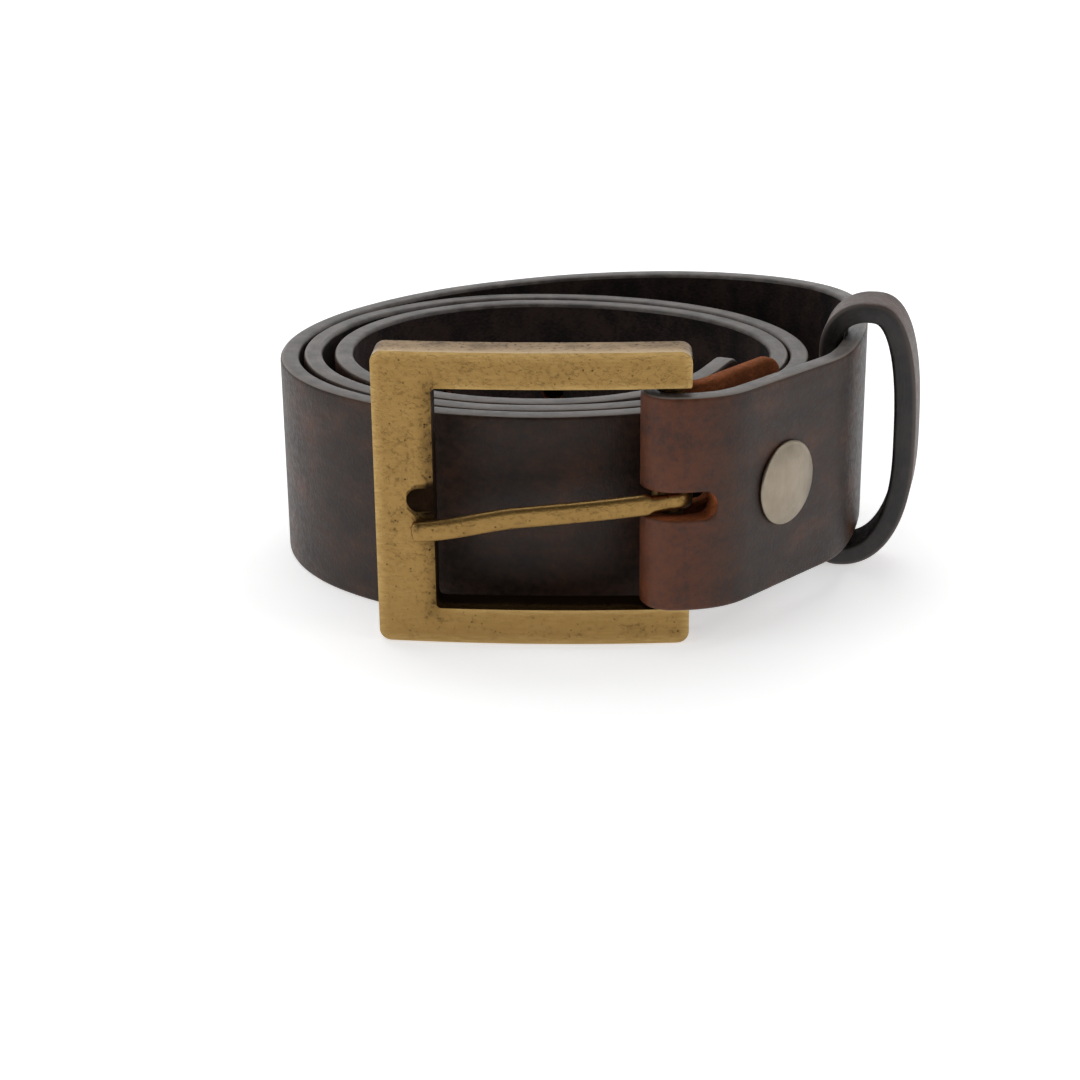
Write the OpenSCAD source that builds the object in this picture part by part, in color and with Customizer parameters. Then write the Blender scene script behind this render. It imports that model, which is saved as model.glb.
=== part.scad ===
// Leather belt, coiled on edge: strap, square heel-bar buckle, snap and keeper.
// X runs right, Y runs away from the buckle side, Z is up. The coil stands on
// z = 0 and the origin is under the middle of the whole object. Headings are
// degrees in plan, along the strap from the buckle to the tip, and the strap's
// grain face is always on the right of its heading.

/* [Strap] */
// Width of the strap
strap_w = 38; // [34:1:38]
// Thickness of the leather
strap_t = 3.5; // [3:0.1:3.5]
// Thickness of the skived turn-back behind the buckle
flap_t = 2.5; // [2:0.1:2.5]
// How far the buckle end is lifted by the taller buckle
buckle_lift = 7; // [6.8:0.1:7.2]
// How much more the end of the turn-back stands up
flap_lift = 0.2; // [0:0.1:2]
// Length of strap over which the buckle end's lift dies away
settle_len = 240; // [200:10:300]
// Rounding of the turn-back's corners
flap_corner = 4; // [3:1:16]
// Rounding of the tip's corners
tip_corner = 8; // [6:1:18]
// Height of the oblong prong slot
slot_h = 5.8; // [5.6:0.1:8]
// How far the slot runs into the front layer, from the heel bar
slot_front = 5.2; // [5:0.2:9]
// How far the slot runs into the turn-back, from the heel bar
slot_back = 8; // [6:0.5:10]

/* [Adjustment holes] */
// Diameter of a hole
hole_d = 4.5; // [3:0.5:6]
// Number of holes
hole_count = 5; // [1:1:7]
// Distance between holes
hole_pitch = 25; // [15:1:25]
// Distance from the tip to the nearest hole
hole_first = 75; // [60:5:80]

/* [Coil] */
// Outer turn's grain face at its right, back, left and front
turn_a = [[62.9, 14.9], [13, 52.2], [-48.6, 2], [2, -41.5]]; // [-70:0.1:70]
// Middle turn's grain face at its right, back, left and front
turn_b = [[50.7, -1], [-2, 42.6], [-44.3, 3], [2, -37.7]]; // [-70:0.1:70]
// Inner turn's grain face at its right, back, left and front
turn_c = [[46.9, -1], [-2, 37.6], [-38.5, 3], [2, -33.9]]; // [-70:0.1:70]
// Radius and angle of the last bend before the tip
tail_bend = [34, 66]; // [10:1:80]
// Straight leather after that bend
tail_len = 14; // [8:1:16]

/* [Front run] */
// Radius and angle of the slack curve that joins the outer turn
slack_bend = [112, 20]; // [10:1:120]
// Radius and angle of the bend after the snap
far_bend = [27, 22]; // [10:1:40]
// Straight stretch that carries the snap
snap_run = 22.6; // [20.6:0.2:24]
// Part of that stretch that the turn-back backs
flap_run = 19.6; // [18:0.2:20.4]
// Distance of the snap along that stretch
snap_place = 10; // [9:0.5:11]
// Radius of the bend between the buckle and the snap
near_bend_r = 16; // [15:1:20]

/* [Buckle] */
// Outer length of the frame
frame_l = 53.5; // [50:0.5:56]
// Outer height of the frame
frame_h = 52; // [51.5:0.5:56]
// Height of the window in the frame
window_h = 39.4; // [39.2:0.1:40.4]
// Depth of the frame, front to back
frame_d = 6.6; // [6:0.2:7]
// Forward bow of the frame
frame_bow = 1.4; // [0:0.2:2]
// Width of the bar that the prong rests on
rest_bar_w = 10; // [8:0.5:12]
// Rounding of the frame's outer corners
frame_corner = 2; // [1:0.5:5]
// Diameter of the heel bar
heel_d = 4; // [3.6:0.1:4]
// Distance from the heel bar to the open end of the frame
heel_inset = 3.3; // [3:0.1:4]
// Turn of the frame towards the coil, about the heel bar
frame_turn = 3; // [0:1:4]

/* [Prong] */
// Width of the prong
prong_w = 3.6; // [3:0.1:3.8]
// Thickness of the prong
prong_t = 2; // [1.6:0.1:2.2]
// Length of the prong from the heel bar to its tip
prong_l = 44.5; // [43:0.5:46]
// Droop of the prong's blade
prong_droop = 6.5; // [0:0.5:6.5]
// Forward swell of the blade near its root
prong_swell = 1.2; // [0:0.1:2]

/* [Snap] */
// Diameter of the cap
cap_d = 15; // [13:0.1:16]
// Height of the cap's dome over its rim
cap_dome = 1; // [0.8:0.1:2]
// Diameter of the socket, the stud and the post's flange
snap_d = 12.4; // [10:0.1:12.6]
// Diameter of the stud's knob
knob_d = 6; // [5.4:0.1:6.4]

/* [Keeper] */
// Width of the keeper's band, along the strap
band_w = 10; // [8:0.5:12]
// Thickness of the keeper's leather
band_t = 3.3; // [2.8:0.1:3.3]
// Outer height of the keeper
keeper_tall = 50.6; // [50:0.2:52]
// Reach of the keeper outside the strap's grain face
keeper_out = 10.4; // [9:0.1:11]
// Space between the strap's flesh side and the keeper's inner leg
keeper_slack = 0.9; // [0.9:0.1:1.1]
// Angle along the slack curve at which the keeper hangs
keeper_turn = 6; // [4:1:8]
// Rounding of the keeper's outer corners
keeper_r = 8; // [6:0.5:8.5]

/* [Hidden] */

leather = "#4b3f3b";
antique_brass = "#b39655";
dark_brass = "#8d7546";
nickel = "#b9b6ae";

// Clearances: table, fold on the heel bar, hook on the heel bar, pieces that touch
table_gap = 0.2;
fold_gap = 0.3;
hook_gap = 0.06;
seat_gap = 0.05;
prong_rest_gap = 0.3;
// Longest chord of the strap's curve, and the angle between points on the fold
chord = 3;
fold_step = 10;

fold_r = heel_d / 2 + fold_gap;
layer_gap = 2 * fold_r;
// Distance from the front layer's grain face to the turn-back's
flap_in = strap_t + layer_gap + flap_t;
mid_z = buckle_lift + strap_w / 2;

// ---- directions and walks in plan; a bend is [radius, angle] ----
function along(h) = [cos(h), sin(h)];
function inward(h) = [-sin(h), cos(h)];
function bend_start(p, h, bend) = p + bend[0] * (inward(h) - inward(h - bend[1]));
function bend_end(p, h, bend) = p + bend[0] * (inward(h) - inward(h + bend[1]));
function bend_len(bend) = bend[0] * bend[1] * PI / 180;
function bend_walk(p, h, bend) =
    let (n = ceil(max(bend_len(bend) / chord, bend[1] / 6)))
    [for (i = [0:n - 1]) let (a = bend[1] * i / n) [each bend_end(p, h, [bend[0], a]), h + a]];
function run_walk(p, h, len) =
    let (n = ceil(len / chord))
    [for (i = [0:n - 1]) [each (p + len * i / n * along(h)), h]];

// Quarter k of an oval coil, from the reach point p of a turn to the next one, q
function quarter(p, q, k) =
    let (centre = k % 2 == 0 ? [q[0], p[1]] : [p[0], q[1]],
         a = abs(p[0] - q[0]),
         b = abs(p[1] - q[1]),
         n = ceil(0.8 * (a + b) / chord))
    [for (i = [0:n - 1]) let (t = 90 * (k + i / n))
        [centre[0] + a * cos(t), centre[1] + b * sin(t), atan2(b * cos(t), -a * sin(t))]];

// ---- corner points of the front run, worked back from the outer turn ----
slack_h = 90 - slack_bend[1];
slack_p = bend_start(turn_a[0], 90, slack_bend);
snap_h = slack_h - far_bend[1];
far_p = bend_start(slack_p, slack_h, far_bend);
snap_p = far_p - snap_run * along(snap_h);
near_bend = [near_bend_r, snap_h];
front_p = bend_start(snap_p, snap_h, near_bend);
// Straight leather between the fold and the near bend
heel_step = 1.5;
heel = [front_p[0] - heel_step, front_p[1] + strap_t + fold_r];

// ---- grain-face line [x, y, heading] from the turn-back's end to the tip ----
front_line = concat(bend_walk(front_p, 0, near_bend), run_walk(snap_p, snap_h, flap_run));
flap_line = [for (i = [len(front_line) - 1:-1:0])
    let (w = front_line[i], p = [w[0], w[1]] + flap_in * inward(w[2])) [each p, w[2] + 180]];
fold_line = [for (a = [0:fold_step:180])
    let (r = fold_r + flap_t + (strap_t - flap_t) * a / 180)
    [heel[0] - r * sin(a), heel[1] + r * cos(a), 180 + a]];
reach = concat(turn_a, turn_b, turn_c);
tail_p = reach[len(reach) - 1];
strap_line = concat(
    flap_line,
    fold_line,
    front_line,
    run_walk(snap_p + flap_run * along(snap_h), snap_h, snap_run - flap_run),
    bend_walk(far_p, snap_h, far_bend),
    bend_walk(slack_p, slack_h, slack_bend),
    [for (k = [0:len(reach) - 2]) each quarter(reach[k], reach[k + 1], k)],
    bend_walk(tail_p, 0, tail_bend),
    run_walk(bend_end(tail_p, 0, tail_bend), tail_bend[1], tail_len),
    [[each (bend_end(tail_p, 0, tail_bend) + tail_len * along(tail_bend[1])), tail_bend[1]]]);

count = len(strap_line);
fold_i = len(flap_line);
front_i = fold_i + len(fold_line);
function spacing(i) = i == 0 || i >= count ? 0
    : norm([strap_line[i][0] - strap_line[i - 1][0], strap_line[i][1] - strap_line[i - 1][1]]);
// Length along the strap at each point
run = [for (i = 0, s = 0; i < count; i = i + 1, s = s + spacing(i)) s];
total = run[count - 1];

// ---- where the frame, the prong and the keeper lie in plan ----
frame_x0 = heel_inset - frame_l;
frame_mid = frame_x0 + frame_l / 2;
function bow(x) = -frame_bow * (1 - pow((x - frame_mid) / (frame_l / 2), 2));
hook_wall = 1.6;
hook_mouth = 0.6;
hook_r = heel_d / 2 + hook_gap + hook_wall;
// Front face of the frame at the window's edge, where the prong rests, seen from the heel bar
window_x = frame_x0 + rest_bar_w;
rest_y = -window_x * sin(frame_turn) + (bow(window_x) - bow(0) - frame_d / 2) * cos(frame_turn);
tip_y = rest_y - prong_rest_gap - prong_t / 2;
root_y = prong_t / 2 - hook_r;
function blade_y(u) = root_y + (tip_y - root_y) * u - prong_swell * sin(180 * pow(u, 0.7));
function blade_edge(side) = [for (i = [0:20]) let (u = i / 20)
    [-(prong_l - prong_t / 2) * u, blade_y(u) + side * prong_t / 2]];

keeper_h = slack_h + keeper_turn;
keeper_p = bend_end(slack_p, slack_h, [slack_bend[0], keeper_turn]);
keeper_in = strap_t + keeper_slack + band_t;
keeper_corner = keeper_p + keeper_out * along(keeper_h - 90)
    + band_w / 2 * along(keeper_h);

// Moves the middle of the whole object's box onto the origin
front_y = min(front_p[1], heel[1] + min([for (p = blade_edge(-1)) p[1]]));
shift = -[turn_a[2][0] + keeper_corner[0], turn_a[1][1] + front_y] / 2;
function placed(p, z) = [p[0] + shift[0], p[1] + shift[1], z];

// ---- lift, thickness and rounded ends of the strap ----
function lift(d) = buckle_lift * (1 + cos(180 * min(1, max(0, d) / settle_len))) / 2;
function lift_at(i) = i < fold_i
    ? buckle_lift + flap_lift * (1 - run[i] / run[fold_i])
    : lift(run[i] - run[front_i]);
function thick_at(i) = i < fold_i ? flap_t : i >= front_i ? strap_t
    : flap_t + (strap_t - flap_t) * (i - fold_i) / (front_i - 1 - fold_i);
function cut_corner(d, r) = d >= r ? 0 : r - sqrt(r * r - (r - d) * (r - d));
end_land = 0.3;
function trim_at(i) =
    cut_corner(run[i] + end_land, flap_corner) + cut_corner(total - run[i] + end_land, tip_corner);
function ring(i) =
    let (p = [strap_line[i][0], strap_line[i][1]] + shift,
         q = p + thick_at(i) * inward(strap_line[i][2]),
         low = lift_at(i) + trim_at(i),
         high = lift_at(i) + strap_w - trim_at(i))
    [[each p, low], [each q, low], [each q, high], [each p, high]];

// Strip of leather swept through its rings, four points to a ring
module strip() {
    points = [for (i = [0:count - 1]) each ring(i)];
    sides = [for (i = [0:count - 2]) for (k = [0:3])
        [4 * i + k, 4 * i + 4 + k, 4 * i + 4 + (k + 1) % 4, 4 * i + (k + 1) % 4]];
    last = 4 * count - 4;
    polyhedron(points, concat([[0, 1, 2, 3]], sides, [[last + 3, last + 2, last + 1, last]]),
        convexity = 20);
}

// Puts its children on the grain face at point i, with x outward, at mid height
module on_strap(i) {
    translate(placed([strap_line[i][0], strap_line[i][1]], lift_at(i) + strap_w / 2))
        rotate([0, 0, strap_line[i][2] - 90]) children();
}

// Puts its children on the snap's axis: z is outward, z = 0 is the grain face
module on_snap() {
    p = snap_p + snap_place * along(snap_h);
    translate(placed(p, lift(bend_len(near_bend) + snap_place) + strap_w / 2))
        rotate([0, 0, snap_h - 90]) rotate([0, 90, 0]) children();
}

// Last point of the line that is at least d from the tip
function hole_point(d) = max([for (i = [0:count - 1]) if (run[i] <= total - d) i]);

// Oblong slot through the fold, rounded at its end in the front layer
module prong_slot() {
    translate(placed(heel, mid_z)) {
        translate([slot_front, 0, 0]) rotate([90, 0, 0])
            cylinder(d = slot_h, h = fold_r + strap_t + 1, $fn = 48);
        translate([-2 * fold_r - strap_t, -fold_r - strap_t - 1, -slot_h / 2])
            cube([2 * fold_r + strap_t + slot_front, fold_r + strap_t + 1, slot_h]);
        translate([-2 * fold_r - strap_t, 0, -slot_h / 2])
            cube([2 * fold_r + strap_t + slot_back, fold_r + flap_t + 0.8, slot_h]);
    }
}

tube_r = 2.4;
hole_over = 0.12;

// Strap: one piece of leather with its fold, prong slot and holes
module strap() {
    color(leather) difference() {
        strip();
        prong_slot();
        for (k = [0:hole_count - 1]) on_strap(hole_point(hole_first + k * hole_pitch))
            rotate([0, -90, 0]) translate([0, 0, -hole_over]) rotate([0, 0, 20])
                cylinder(d = hole_d, h = strap_t + 2 * hole_over, $fn = 32);
        on_snap() translate([0, 0, -flap_in - 0.5])
            cylinder(r = tube_r + seat_gap, h = flap_in + 1, $fn = 48);
    }
}

// ---- buckle ----
module on_frame() {
    translate(placed(heel, table_gap)) rotate([0, 0, -frame_turn]) children();
}
function bow_line(y, dir) = [for (i = [0:16])
    let (x = frame_mid + dir * frame_l * (i / 16 - 0.5)) [x, bow(x) - bow(0) + y]];

module rounded_rect(x0, x1, z0, z1, r) {
    translate([x0 + r, z0]) square([x1 - x0 - 2 * r, z1 - z0]);
    translate([x0, z0 + r]) square([x1 - x0, z1 - z0 - 2 * r]);
    for (x = [x0 + r, x1 - r], z = [z0 + r, z1 - r]) translate([x, z]) circle(r, $fn = 48);
}

notch_l = 4.6;
notch_h = 4.4;
notch_d = 1.2;
bore_end = 2;
window_z = (frame_h - window_h) / 2;

// Frame: one bowed casting, three sides of a square, open at the heel bar's end
module buckle_frame() {
    color(antique_brass) on_frame() difference() {
        intersection() {
            rotate([90, 0, 0]) linear_extrude(3 * frame_d, center = true) difference() {
                rounded_rect(frame_x0, heel_inset, 0, frame_h, frame_corner);
                rounded_rect(window_x, heel_inset + 10, window_z, frame_h - window_z, 1);
            }
            linear_extrude(frame_h)
                polygon(concat(bow_line(-frame_d / 2, 1), bow_line(frame_d / 2, -1)));
        }
        translate([0, 0, bore_end])
            cylinder(d = heel_d, h = frame_h - 2 * bore_end, $fn = 48);
        translate([window_x, bow(window_x) - bow(0) - frame_d / 2 + notch_d, mid_z - table_gap])
            rotate([90, 0, 0]) prong_notch();
    }
}

module prong_notch() {
    translate([notch_h / 2 - notch_l, 0, 0]) cylinder(d = notch_h, h = 2 * notch_d, $fn = 32);
    translate([notch_h / 2 - notch_l, -notch_h / 2, 0])
        cube([notch_l, notch_h, 2 * notch_d]);
}

// Heel bar: pin pressed into both arms of the frame
module heel_bar() {
    color(dark_brass) on_frame() translate([0, 0, bore_end + 0.1])
        cylinder(d = heel_d, h = frame_h - 2 * bore_end - 0.2, $fn = 48);
}

// ---- prong ----
// Prong: hook round the heel bar and a flat blade that droops to its tip
module prong() {
    edge_f = blade_edge(-1);
    edge_b = blade_edge(1);
    color(antique_brass) translate(placed(heel, mid_z)) difference() {
        union() {
            translate([0, 0, -prong_w / 2]) cylinder(r = hook_r, h = prong_w, $fn = 48);
            rotate([0, -prong_droop, 0]) translate([0, 0, -prong_w / 2]) linear_extrude(prong_w) {
                polygon(concat(edge_f, [for (i = [20:-1:0]) edge_b[i]]));
                translate([prong_t / 2 - prong_l, tip_y]) circle(prong_t / 2, $fn = 24);
            }
        }
        translate([0, 0, -prong_w]) cylinder(d = heel_d + 2 * hook_gap, h = 2 * prong_w, $fn = 48);
        translate([-2 * hook_r, hook_mouth, -prong_w])
            cube([2 * hook_r - 1.4, 1.4, 2 * prong_w]);
    }
}

// ---- snap, closed: cap and socket in the front layer, stud and post in the turn-back ----
rim_t = 0.7;
cap_inner_t = 0.6;
flange_t = 0.8;
socket_h = 3.3;
back_z = -strap_t - layer_gap;

function dome(r, h, n) =
    let (big = (r * r + h * h) / (2 * h), half = asin(r / big))
    [for (i = [0:n]) let (a = half * i / n) [big * sin(a), big * cos(a) - big + h]];

// Cap: domed disc with the tube that is clinched into the socket
module snap_cap() {
    r = cap_d / 2;
    color(nickel) on_snap() {
        rotate_extrude($fn = 72) polygon(concat(
            [for (p = dome(r, cap_dome, 10)) p + [0, rim_t]],
            [[r, seat_gap], [r - 0.8, seat_gap], [r - 1, rim_t], [0, rim_t]]));
        translate([0, 0, -strap_t - cap_inner_t]) difference() {
            cylinder(r = tube_r, h = strap_t + cap_inner_t + rim_t, $fn = 48);
            translate([0, 0, -1]) cylinder(r = tube_r - 0.5, h = strap_t + 1, $fn = 48);
        }
    }
}

// Socket: cup that grips the stud, on the front layer's flesh side
module snap_socket() {
    color(nickel) on_snap() rotate_extrude($fn = 72) polygon([
        [tube_r + seat_gap, -strap_t - seat_gap],
        [snap_d / 2, -strap_t - seat_gap],
        [snap_d / 2, -strap_t - flange_t],
        [snap_d / 2 - 1.2, -strap_t - socket_h],
        [knob_d / 2 + 0.3, -strap_t - socket_h],
        [knob_d / 2 + 0.3, -strap_t - flange_t],
        [tube_r + seat_gap, -strap_t - flange_t]]);
}

// Stud: flange and knob on the turn-back's flesh side
module snap_stud() {
    color(nickel) on_snap() rotate_extrude($fn = 72) polygon([
        [tube_r + seat_gap, back_z + seat_gap],
        [snap_d / 2 - 0.4, back_z + seat_gap],
        [snap_d / 2 - 0.4, back_z + flange_t],
        [knob_d / 2 - 0.2, back_z + flange_t],
        [knob_d / 2, back_z + 2.4],
        [knob_d / 2 - 0.3, back_z + 3],
        [tube_r + seat_gap, back_z + 3]]);
}

// Post: flanged tube that rivets the stud to the turn-back
module snap_post() {
    color(nickel) on_snap() translate([0, 0, back_z - flap_t]) rotate_extrude($fn = 72) polygon([
        [tube_r - 0.6, -flange_t],
        [snap_d / 2 - 0.6, -flange_t],
        [snap_d / 2 - 0.6, -seat_gap],
        [tube_r, -seat_gap],
        [tube_r, flap_t + 2.6],
        [tube_r - 0.6, flap_t + 2.6]]);
}

// ---- keeper ----
module on_keeper() {
    translate(placed(keeper_p, table_gap)) rotate([0, 0, keeper_h - 90]) children();
}
staple_z = [14, 34];
staple_w = 6;
wire = 0.8;

// Keeper loop: a band of leather closed on itself round the strap
module keeper_loop() {
    color(leather) on_keeper() difference() {
        rotate([90, 0, 0]) linear_extrude(band_w, center = true) difference() {
            rounded_rect(-keeper_in, keeper_out, 0, keeper_tall, keeper_r);
            rounded_rect(band_t - keeper_in, keeper_out - band_t, band_t, keeper_tall - band_t,
                keeper_r - band_t);
        }
        for (z = staple_z) translate([-keeper_in, 0, z]) staple(seat_gap);
    }
}

// Staple sunk in the keeper's inner leg, grown by g to make its seat
module staple(g) {
    for (y = [-staple_w / 2, staple_w / 2]) translate([0.3 - g, y - wire / 2 - g, -wire / 2 - g])
        cube([band_t - 0.5, wire + 2 * g, wire + 2 * g]);
    translate([band_t - wire - g, -staple_w / 2 - wire / 2 - g, -wire / 2 - g])
        cube([wire + 1.1 * g, staple_w + wire + 2 * g, wire + 2 * g]);
}

// Staples that close the keeper's lapped ends
module keeper_staples() {
    color(nickel) on_keeper() for (z = staple_z) translate([-keeper_in, 0, z]) staple(0);
}

strap();
buckle_frame();
heel_bar();
prong();
snap_cap();
snap_socket();
snap_stud();
snap_post();
keeper_loop();
keeper_staples();
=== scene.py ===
"""Leather belt, coiled on edge: strap, square heel-bar buckle, snap and keeper.

The strap and the keeper are cut and punched flat, as strips of leather, and then bent along
their lines. X runs right, Y runs away from the buckle's front, Z is up, in metres.
"""

import math
from types import SimpleNamespace

import bmesh
import bpy
from bpy.props import FloatProperty, FloatVectorProperty, IntProperty, PointerProperty
from mathutils import Matrix, Vector


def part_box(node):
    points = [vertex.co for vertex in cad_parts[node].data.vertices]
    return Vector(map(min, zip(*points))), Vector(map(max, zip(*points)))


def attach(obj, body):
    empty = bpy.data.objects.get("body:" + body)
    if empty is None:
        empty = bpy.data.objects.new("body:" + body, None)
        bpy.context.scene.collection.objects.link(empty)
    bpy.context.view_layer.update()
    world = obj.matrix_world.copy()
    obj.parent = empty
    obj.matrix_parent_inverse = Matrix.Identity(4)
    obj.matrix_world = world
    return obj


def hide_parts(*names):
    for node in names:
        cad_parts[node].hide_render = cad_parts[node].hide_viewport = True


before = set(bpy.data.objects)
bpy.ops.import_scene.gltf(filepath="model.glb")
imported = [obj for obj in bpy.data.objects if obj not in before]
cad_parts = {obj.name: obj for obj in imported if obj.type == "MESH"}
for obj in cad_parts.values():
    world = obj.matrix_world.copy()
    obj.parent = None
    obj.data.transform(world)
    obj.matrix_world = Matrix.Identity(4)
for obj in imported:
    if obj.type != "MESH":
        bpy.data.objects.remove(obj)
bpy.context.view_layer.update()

bl_info = {
    "name": "Coiled Leather Belt",
    "version": (1, 0, 0),
    "blender": (4, 5, 0),
    "location": "3D View > Sidebar > Belt",
    "description": "Makes a coiled dress belt with its buckle, snap and keeper",
    "category": "Add Mesh",
}

MM = 0.001
UP = Vector((0, 0, 1))

# The strap's grain-face line in plan: reach points of the three turns at their right, back,
# left and front, and the bends that join them to the front run and the tail.
TURN_A = ((62.9, 14.9), (13, 52.2), (-48.6, 2), (2, -41.5))
TURN_B = ((50.7, -1), (-2, 42.6), (-44.3, 3), (2, -37.7))
TURN_C = ((46.9, -1), (-2, 37.6), (-38.5, 3), (2, -33.9))
REACH = [Vector(point) * MM for point in TURN_A + TURN_B + TURN_C]
SLACK_R, SLACK_TURN = 112 * MM, 20
FAR_R, FAR_TURN = 27 * MM, 22
NEAR_R = 16 * MM
TAIL_R, TAIL_TURN = 34 * MM, 66
SNAP_RUN = 22.6 * MM
FLAP_RUN = 19.6 * MM
SNAP_PLACE = 10 * MM
TAIL_RUN = 14 * MM
HEEL_STEP = 1.5 * MM
ROUTE_STEP = 0.5 * MM

# Clearances: table, fold round the heel bar, hook round the heel bar
TABLE_GAP = 0.2 * MM
FOLD_GAP = 0.3 * MM
HOOK_GAP = 0.06 * MM

# The finishes of a strip of leather, in the order of its material slots
GRAIN, EDGE, FLESH, RAW = range(4)


# ---- colours, settings and nodes ----
def linear(code):
    """Turns an sRGB hex colour to linear RGB."""
    parts = [int(code[i : i + 2], 16) / 255 for i in (1, 3, 5)]
    return [c / 12.92 if c <= 0.04045 else ((c + 0.055) / 1.055) ** 2.4 for c in parts]


def size(name, mm, text):
    """A length setting, given in millimetres."""
    return FloatProperty(name=name, description=text, default=mm * MM, unit="LENGTH", precision=4)


def angle(name, degrees, text):
    """An angle setting, given in degrees."""
    return FloatProperty(
        name=name, description=text, default=math.radians(degrees), subtype="ANGLE"
    )


def colour(name, code, text):
    """A colour setting, given as sRGB hex."""
    return FloatVectorProperty(
        name=name, description=text, default=linear(code), subtype="COLOR", min=0, max=1
    )


def add(tree, kind, inputs=None, **settings):
    """Adds a node, sets its properties, and links or fills its inputs by name or number."""
    made = tree.nodes.new(kind)
    for name, value in settings.items():
        setattr(made, name, value)
    for key, value in (inputs or {}).items():
        if isinstance(value, bpy.types.NodeSocket):
            tree.links.new(value, made.inputs[key])
        else:
            made.inputs[key].default_value = value
    return made


def new_material(name, **shader):
    """An empty material with its shader's fixed values, and its tree."""
    material = bpy.data.materials.new(name)
    material.use_nodes = True
    tree = material.node_tree
    tree.nodes.clear()
    surface = add(tree, "ShaderNodeBsdfPrincipled", shader)
    add(tree, "ShaderNodeOutputMaterial", {"Surface": surface.outputs["BSDF"]})
    return material, tree, surface


def blend(tree, factor, low, high):
    """Colour mixed from low to high by factor; a plain colour gets its alpha."""
    pair = [c if isinstance(c, bpy.types.NodeSocket) else (*c, 1) for c in (low, high)]
    mix = add(tree, "ShaderNodeMix", {0: factor, 6: pair[0], 7: pair[1]}, data_type="RGBA")
    return mix.outputs[2]


def ramp(tree, value, start, end, low=0.0, high=1.0):
    """Value brought smoothly from the range start..end to low..high."""
    fit = add(
        tree,
        "ShaderNodeMapRange",
        {"Value": value, 1: start, 2: end, 3: low, 4: high},
        interpolation_type="SMOOTHSTEP",
    )
    return fit.outputs["Result"]


def noise(tree, place, grain, detail=4.0, rough=0.55, stretch=(1, 1, 1)):
    """Cloudy pattern with features about one grain across, in metres, stretched as asked."""
    scale = [1 / (grain * s) for s in stretch]
    put = add(tree, "ShaderNodeMapping", {"Vector": place, "Scale": scale})
    cloud = add(
        tree,
        "ShaderNodeTexNoise",
        {"Vector": put.outputs[0], "Scale": 1.0, "Detail": detail, "Roughness": rough},
    )
    return cloud.outputs[0]


def bumped(tree, surface, height, depth, strength=1.0):
    """Gives the surface a relief of that depth, in metres."""
    bump = add(
        tree, "ShaderNodeBump", {"Height": height, "Distance": depth, "Strength": strength}
    )
    tree.links.new(bump.outputs["Normal"], surface.inputs["Normal"])


def math_of(tree, operation, first, second):
    """Result of one sum on two values."""
    return add(tree, "ShaderNodeMath", {0: first, 1: second}, operation=operation).outputs[0]


# ---- materials ----
def full_grain_leather(name, looks, fold_at):
    """Drum-dyed, waxed full grain: a dark brown with cloudy mottling and fine pores, a soft
    grey gloss, and a redder tone where the fold is stretched and handled."""
    material, tree, surface = new_material(name, **{"Specular IOR Level": 0.38, "IOR": 1.45})
    flat = add(tree, "ShaderNodeAttribute", attribute_name="flat").outputs["Vector"]
    along = add(tree, "ShaderNodeSeparateXYZ", {0: flat}).outputs[0]
    clouds = noise(tree, flat, 7 * MM, 5.0, 0.6, (1.6, 1, 1))
    mottle = noise(tree, flat, 1.4 * MM, 4.0, 0.6)
    tone = math_of(tree, "ADD", clouds, math_of(tree, "MULTIPLY", mottle, 0.8))
    brown = blend(tree, ramp(tree, tone, 0.6, 1.2), looks.dark, looks.light)
    away = math_of(tree, "ABSOLUTE", math_of(tree, "SUBTRACT", along, fold_at), 0)
    spread = ramp(tree, tone, 0.55, 1.15, 0.25, 1.0)
    near = math_of(tree, "MULTIPLY", ramp(tree, away, 24 * MM, 6 * MM), spread)
    near = math_of(tree, "MAXIMUM", near, ramp(tree, clouds, 0.5, 0.74, 0.0, 0.3))
    tree.links.new(blend(tree, near, brown, looks.warm), surface.inputs["Base Color"])
    tree.links.new(ramp(tree, mottle, 0.3, 0.7, 0.4, 0.56), surface.inputs["Roughness"])
    pores = add(
        tree, "ShaderNodeTexVoronoi", {"Vector": flat, "Scale": 1 / (0.9 * MM)}, feature="F1"
    ).outputs["Distance"]
    creases = noise(tree, flat, 0.45 * MM, 5.0, 0.65, (1, 1, 1.6))
    relief = math_of(tree, "ADD", creases, math_of(tree, "MULTIPLY", pores, 0.35))
    bumped(tree, surface, relief, 0.11 * MM, 0.75)
    return material


def burnished_edge(name, dark, light, worn):
    """Edge of the leather rubbed smooth with wax: fibres drawn out along the length, and a
    pale line where the outer corner is worn."""
    material, tree, surface = new_material(name, IOR=1.5)
    flat = add(tree, "ShaderNodeAttribute", attribute_name="flat").outputs["Vector"]
    deep = add(tree, "ShaderNodeSeparateXYZ", {0: flat}).outputs[1]
    fibres = noise(tree, flat, 0.35 * MM, 5.0, 0.65, (9, 1, 1))
    patches = noise(tree, flat, 5 * MM, 3.0, 0.6)
    tone = math_of(tree, "ADD", math_of(tree, "MULTIPLY", fibres, 0.6), patches)
    base = blend(tree, ramp(tree, tone, 0.62, 0.98), dark, light)
    rubbed = math_of(tree, "MULTIPLY", ramp(tree, deep, 0.9 * MM, 0.3 * MM), 0.7)
    tree.links.new(blend(tree, rubbed, base, worn), surface.inputs["Base Color"])
    tree.links.new(ramp(tree, fibres, 0.3, 0.7, 0.34, 0.5), surface.inputs["Roughness"])
    bumped(tree, surface, fibres, 0.08 * MM, 0.6)
    return material


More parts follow.
